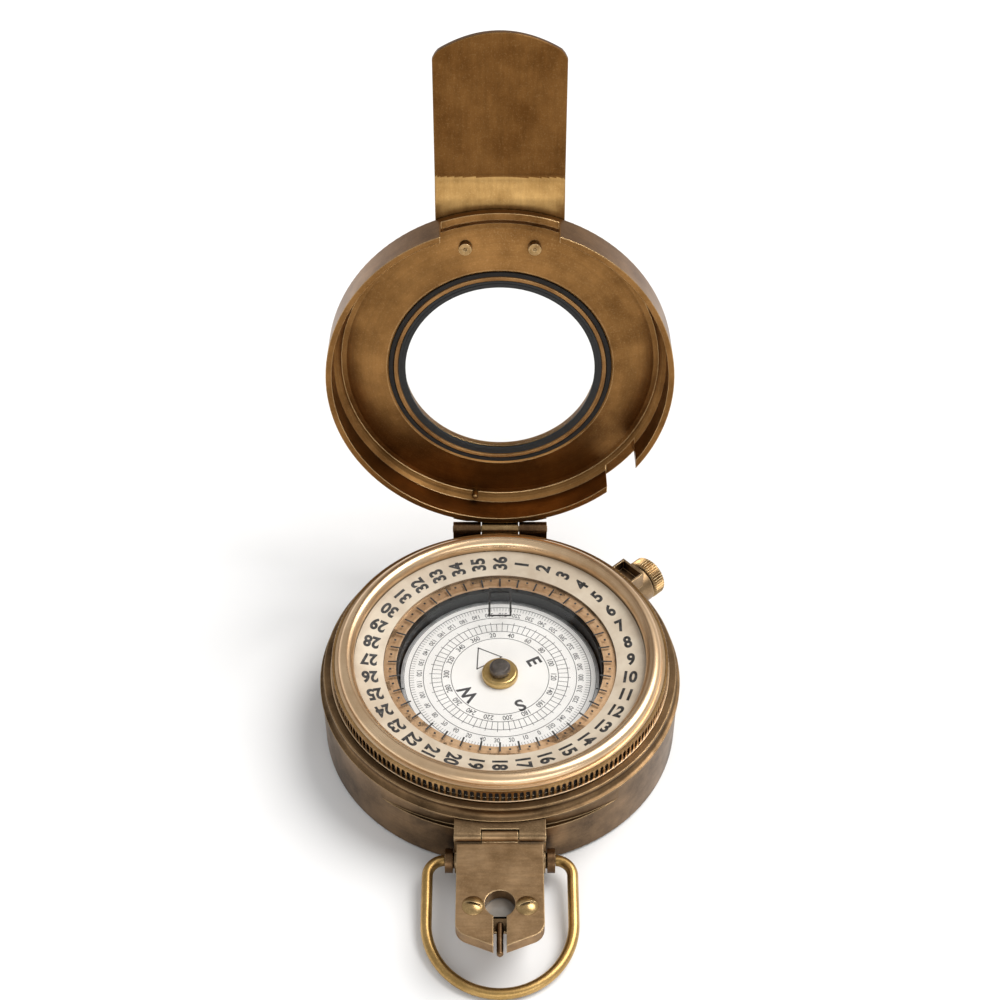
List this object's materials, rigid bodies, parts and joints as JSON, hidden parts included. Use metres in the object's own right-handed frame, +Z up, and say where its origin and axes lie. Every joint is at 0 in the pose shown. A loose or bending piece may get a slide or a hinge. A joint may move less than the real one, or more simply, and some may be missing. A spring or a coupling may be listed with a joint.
{
  "type": "sighting compass",
  "caption": "Pocket sighting compass with a hinged window lid and sight strip, a turning numbered bezel, a floating card, a clamp screw, a folding prism and a thumb ring.",
  "frame": {"origin": "centre of the flat underside of the round case, on the surface it rests on", "axes": "+Z up along the card's pivot, +Y towards the lid hinge, -Y towards the prism and thumb ring, +X towards the side with the clamp screw"},
  "size_m": [0.0636, 0.1128, 0.1081],
  "materials": {
    "case_brass": "brushed, aged",
    "gold_brass": "polished",
    "dark_brass": "antiqued",
    "number_cream": "satin",
    "copper_ring": "satin",
    "glass": "clear",
    "prism_glass": "clear",
    "blackened": "matt black",
    "card_white": "matt",
    "card_rim_grey": "satin",
    "magnet_steel": "ground",
    "spring_steel": "plain",
    "jewel": "polished",
    "cap_grey": "dull",
    "black_gasket": "matt"
  },
  "bodies": {
    "case": {"case_body": "case_brass", "base_cover": "case_brass", "base_cover_screws": "gold_brass", "card_chamber": "blackened", "chamber_screws": "spring_steel", "pivot_post": "gold_brass", "pivot_pin": "spring_steel", "lever_pin": "spring_steel", "bezel_snap_ring": "spring_steel", "clamp_lug": "dark_brass", "case_hinge_leaf": "dark_brass", "lid_hinge_pin": "gold_brass", "prism_bracket": "case_brass", "prism_hinge_pin": "gold_brass", "ring_collars": "dark_brass", "arrest_spring": "spring_steel"},
    "bezel": {"bezel_ring": "gold_brass", "number_ring": "number_cream", "tick_ring": "copper_ring", "bezel_glass": "glass"},
    "card": {"compass_card": "card_white", "card_rim": "card_rim_grey", "card_hub": "gold_brass", "cap_jewel": "jewel", "jewel_cap": "cap_grey", "card_magnets": "magnet_steel"},
    "lifter": {"card_lifter": "gold_brass"},
    "lever": {"lifter_lever": "gold_brass"},
    "arrest": {"arrest_pin": "gold_brass"},
    "shoe": {"clamp_shoe": "gold_brass"},
    "clamp": {"clamp_screw": "gold_brass"},
    "lid": {"lid_shell": "dark_brass", "window_glass": "glass", "window_ring": "gold_brass", "window_gasket": "black_gasket", "lid_tongue": "dark_brass", "tongue_rivets": "gold_brass", "lid_stud": "gold_brass", "lid_hinge_leaf": "dark_brass"},
    "prism": {"prism_cover": "case_brass", "prism_housing": "dark_brass", "prism_glass": "prism_glass", "cover_screws": "gold_brass", "sight_wire": "spring_steel"},
    "thumb_ring": {"thumb_ring": "gold_brass"}
  },
  "joints": [
    {"name": "lid_hinge", "type": "hinge", "parent": "case", "child": "lid", "pos_m": [0, 0.0327, 0.0157], "axis": [-1, 0, 0], "range_deg": [-98.5, 12]},
    {"name": "bezel_turn", "type": "hinge", "parent": "case", "child": "bezel", "pos_m": [0, 0, 0.0177], "axis": [0, 0, 1], "continuous": true},
    {"name": "card_spin", "type": "hinge", "parent": "case", "child": "card", "pos_m": [0, 0, 0.012], "axis": [0, 0, 1], "continuous": true},
    {"name": "prism_fold", "type": "hinge", "parent": "case", "child": "prism", "pos_m": [0, -0.0337, 0.0116], "axis": [-1, 0, 0], "range_deg": [0, 108]},
    {"name": "ring_swing", "type": "hinge", "parent": "case", "child": "thumb_ring", "pos_m": [0, -0.0333, 0.0039], "axis": [-1, 0, 0], "range_deg": [-80, 60]},
    {"name": "clamp_turn", "type": "hinge", "parent": "shoe", "child": "clamp", "pos_m": [0.02669, 0.02489, 0.0098], "axis": [0.7314, 0.682, 0], "range_deg": [-170, 0]},
    {"name": "shoe_slide", "type": "slide", "parent": "case", "child": "shoe", "axis": [0.7314, 0.682, 0], "range_m": [-0.00033, 0]},
    {"name": "arrest_slide", "type": "slide", "parent": "case", "child": "arrest", "axis": [0, 0, 1], "range_m": [-0.00081, 0.00010746], "deforming": ["arrest_spring"]},
    {"name": "lever_rock", "type": "hinge", "parent": "case", "child": "lever", "pos_m": [-0.00221, 0.01413, 0.0025], "axis": [0.988, 0.1547, 0], "range_deg": [-2.9, 0.37]},
    {"name": "lifter_slide", "type": "slide", "parent": "case", "child": "lifter", "axis": [0, 0, 1], "range_m": [-0.00005873, 0.00041]}
  ],
  "couplings": [
    {"joint": "clamp_turn", "follows": "shoe_slide", "rad_per_m": 8976},
    {"joint": "arrest_slide", "follows": "lid_hinge", "m_per_rad": 0.00046535},
    {"joint": "lever_rock", "follows": "lid_hinge", "ratio": 0.029279},
    {"joint": "lifter_slide", "follows": "lid_hinge", "m_per_rad": -0.00023267}
  ]
}
